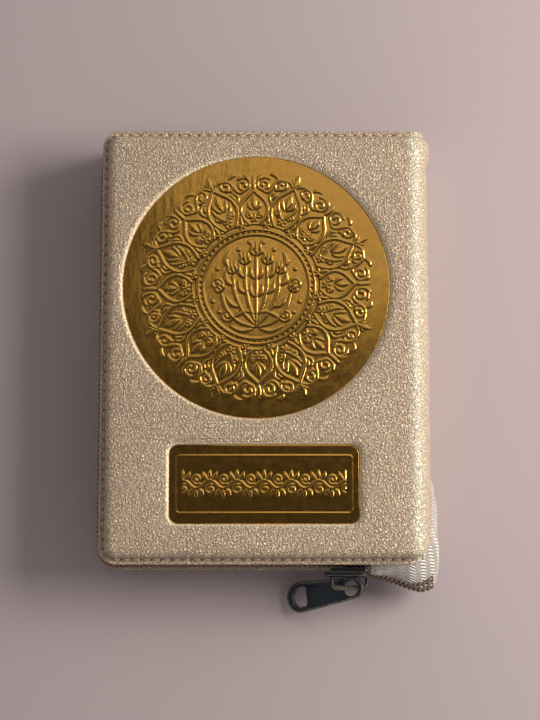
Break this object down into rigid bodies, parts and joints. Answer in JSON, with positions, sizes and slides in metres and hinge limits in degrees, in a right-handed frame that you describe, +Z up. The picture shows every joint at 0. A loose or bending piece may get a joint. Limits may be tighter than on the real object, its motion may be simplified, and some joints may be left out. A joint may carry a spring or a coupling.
{
  "type": "prayer book",
  "caption": "Zip-around prayer book with padded leather covers, a round foil medallion, a foil plate, leaves that fan open, and a zip slider with a swinging pull tab.",
  "frame": {"origin": "centre of the back cover's flat outer face, on which the closed book lies", "axes": "+X towards the spine, +Y towards the head of the book, +Z up through the front cover"},
  "size_m": [0.1088, 0.1529, 0.027],
  "materials": {
    "cover_leather": "pebbled pearl coat",
    "grey_board": "matt",
    "foam": "matt",
    "lining_cloth": "matt weave",
    "gold_foil": "metallised foil",
    "endpaper": "matt",
    "leaf_paper": "matt",
    "zip_tape": "herringbone weave",
    "zip_coil": "satin",
    "slider_paint": "worn satin",
    "tab_paint": "satin"
  },
  "bodies": {
    "back_case": {"back_skin": "cover_leather", "back_board": "grey_board", "back_lining": "lining_cloth", "back_endpaper": "endpaper", "back_pages": "leaf_paper", "lower_zip_tape": "zip_tape", "lower_zip_coil": "zip_coil", "zip_tail_foot": "zip_tape", "zip_tail_chain": "zip_coil"},
    "spine": {"spine_skin": "cover_leather", "spine_stiffener": "grey_board", "spine_lining": "lining_cloth", "zip_tail_spine": "zip_tape"},
    "front_case": {"front_skin": "cover_leather", "front_pad": "foam", "front_board": "grey_board", "front_lining": "lining_cloth", "front_endpaper": "endpaper", "medallion": "gold_foil", "name_plate": "gold_foil", "upper_zip_tape": "zip_tape", "upper_zip_coil": "zip_coil"},
    "middle_leaves": {"middle_pages": "leaf_paper"},
    "front_leaves": {"front_pages": "leaf_paper"},
    "slider": {"slider_body": "slider_paint", "slider_bail": "slider_paint"},
    "pull_tab": {"pull_tab": "tab_paint"}
  },
  "joints": [
    {"name": "spine_fold", "type": "hinge", "parent": "back_case", "child": "spine", "pos_m": [0.0495, 0, 0.0015], "axis": [0, 1, 0], "range_deg": [0, 32]},
    {"name": "cover_open", "type": "hinge", "parent": "spine", "child": "front_case", "pos_m": [0.0495, 0, 0.0255], "axis": [0, 1, 0], "range_deg": [0, 158]},
    {"name": "middle_leaves_turn", "type": "hinge", "parent": "back_case", "child": "middle_leaves", "pos_m": [0.0465, 0, 0.01572], "axis": [0, 1, 0], "range_deg": [0, 61]},
    {"name": "front_leaves_turn", "type": "hinge", "parent": "back_case", "child": "front_leaves", "pos_m": [0.0465, 0, 0.0205], "axis": [0, 1, 0], "range_deg": [0, 121]},
    {"name": "slider_travel", "type": "slide", "parent": "back_case", "child": "slider", "axis": [-1, 0, 0], "range_m": [0, 0.06]},
    {"name": "tab_swing", "type": "hinge", "parent": "slider", "child": "pull_tab", "pos_m": [0.0274, -0.0755, 0.0132], "axis": [-1, 0, 0], "range_deg": [0, 150]}
  ],
  "couplings": [
    {"joint": "spine_fold", "follows": "cover_open", "ratio": 0.2},
    {"joint": "middle_leaves_turn", "follows": "cover_open", "ratio": 0.38},
    {"joint": "front_leaves_turn", "follows": "cover_open", "ratio": 0.76}
  ]
}
